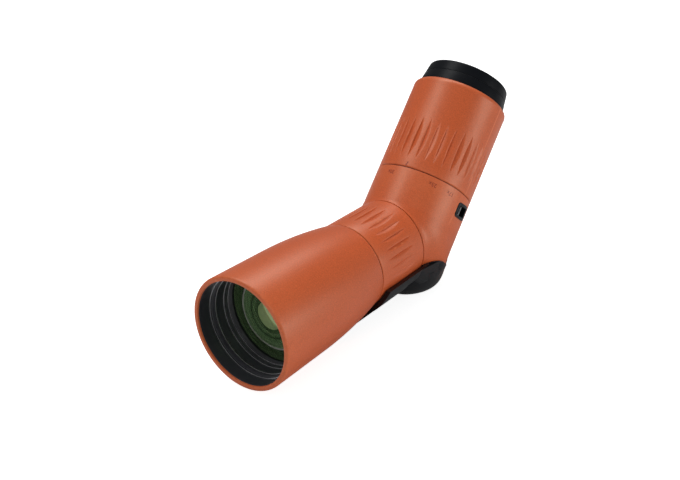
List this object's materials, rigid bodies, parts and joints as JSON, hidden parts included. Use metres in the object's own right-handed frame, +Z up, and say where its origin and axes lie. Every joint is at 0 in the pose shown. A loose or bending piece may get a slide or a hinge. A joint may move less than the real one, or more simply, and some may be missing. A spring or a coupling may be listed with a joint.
{
  "type": "angled spotting scope",
  "caption": "Angled zoom spotting scope with a ribbed focusing ring, turning zoom eyepiece, twist-up eyecup, strap lugs and a tripod foot.",
  "frame": {"origin": "centre of the tripod thread's mouth in the foot's flat base", "axes": "+Z up along the tripod thread, the objective looks along -Y, +X is the side of the left strap lug"},
  "size_m": [0.0638, 0.2301, 0.123],
  "materials": {
    "orange_armour": "fine matt grain",
    "black_alloy": "black anodised, satin",
    "seal_rubber": "plain",
    "coated_glass": "polished, green coated",
    "flocked_black": "dead matt",
    "bare_alloy": "turned",
    "steel": "plain",
    "black_plastic": "satin",
    "foot_black": "satin powder coat",
    "eyecup_rubber": "soft matt"
  },
  "bodies": {
    "scope": {"barrel_armour": "orange_armour", "barrel_tube": "black_alloy", "lens_retaining_ring": "black_alloy", "lens_clamp_ring": "black_alloy", "objective_seal": "seal_rubber", "objective_front_lens": "coated_glass", "objective_lens_spacer": "black_alloy", "objective_crown_lens": "coated_glass", "objective_flint_lens": "coated_glass", "baffle_cone": "flocked_black", "neck_tube": "black_alloy", "focus_seals": "seal_rubber", "body_armour": "orange_armour", "body_housing": "black_alloy", "roof_prism": "coated_glass", "prism_cradle": "bare_alloy", "prism_clamp": "steel", "strap_lug_left": "black_plastic", "strap_lug_right": "black_plastic", "strap_pins": "steel", "foot_bridge": "foot_black", "foot_heel": "foot_black", "tripod_bush": "steel", "foot_screws": "steel", "eyepiece_tube": "bare_alloy", "field_stop": "black_alloy", "zoom_retaining_ring": "black_alloy", "eye_lens_cell": "black_alloy", "eye_lens_inner": "coated_glass", "eye_lens_spacer": "black_alloy", "eye_lens_outer": "coated_glass", "eye_lens_retainer": "black_alloy", "eyecup_guide": "black_plastic"},
    "focus_ring": {"focus_core": "bare_alloy", "focus_grip": "orange_armour"},
    "focus_carriage": {"focus_lens_cell": "bare_alloy", "focus_lens": "coated_glass", "focus_drive_pin": "steel"},
    "zoom_ring": {"zoom_cam_sleeve": "bare_alloy", "zoom_core": "bare_alloy", "zoom_grip": "orange_armour"},
    "zoom_front_group": {"zoom_front_cell": "bare_alloy", "zoom_front_lens": "coated_glass", "zoom_front_pin": "steel"},
    "zoom_rear_group": {"zoom_rear_cell": "bare_alloy", "zoom_rear_lens": "coated_glass", "zoom_rear_pin": "steel"},
    "eyecup_slider": {"eyecup_detent_ring": "black_plastic"},
    "eyecup": {"eyecup_sleeve": "black_plastic", "eyecup_rubber": "eyecup_rubber"}
  },
  "joints": [
    {"name": "focus_turn", "type": "hinge", "parent": "scope", "child": "focus_ring", "pos_m": [0, 0, 0.036], "axis": [0, 1, 0], "range_deg": [-110, 110]},
    {"name": "focus_travel", "type": "slide", "parent": "scope", "child": "focus_carriage", "axis": [0, 1, 0], "range_m": [-0.0055, 0.0055]},
    {"name": "zoom_turn", "type": "hinge", "parent": "scope", "child": "zoom_ring", "pos_m": [0, -0.00492, 0.036], "axis": [0, 0.7071, 0.7071], "range_deg": [-64, 62]},
    {"name": "zoom_front_travel", "type": "slide", "parent": "scope", "child": "zoom_front_group", "axis": [0, 0.7071, 0.7071], "range_m": [-0.00427, 0.00413]},
    {"name": "zoom_rear_travel", "type": "slide", "parent": "scope", "child": "zoom_rear_group", "axis": [0, 0.7071, 0.7071], "range_m": [-0.0031, 0.0032]},
    {"name": "eyecup_lift", "type": "slide", "parent": "scope", "child": "eyecup_slider", "axis": [0, 0.7071, 0.7071], "range_m": [0, 0.008]},
    {"name": "eyecup_twist", "type": "hinge", "parent": "eyecup_slider", "child": "eyecup", "pos_m": [0, -0.00492, 0.036], "axis": [0, 0.7071, 0.7071], "range_deg": [0, 120.01]}
  ],
  "couplings": [
    {"joint": "focus_travel", "follows": "focus_turn", "m_per_rad": 0.0028648},
    {"joint": "zoom_front_travel", "follows": "zoom_turn", "m_per_rad": 0.0038197},
    {"joint": "zoom_rear_travel", "follows": "zoom_turn", "m_per_rad": -0.0028648},
    {"joint": "eyecup_twist", "follows": "eyecup_lift", "rad_per_m": 261.8}
  ]
}
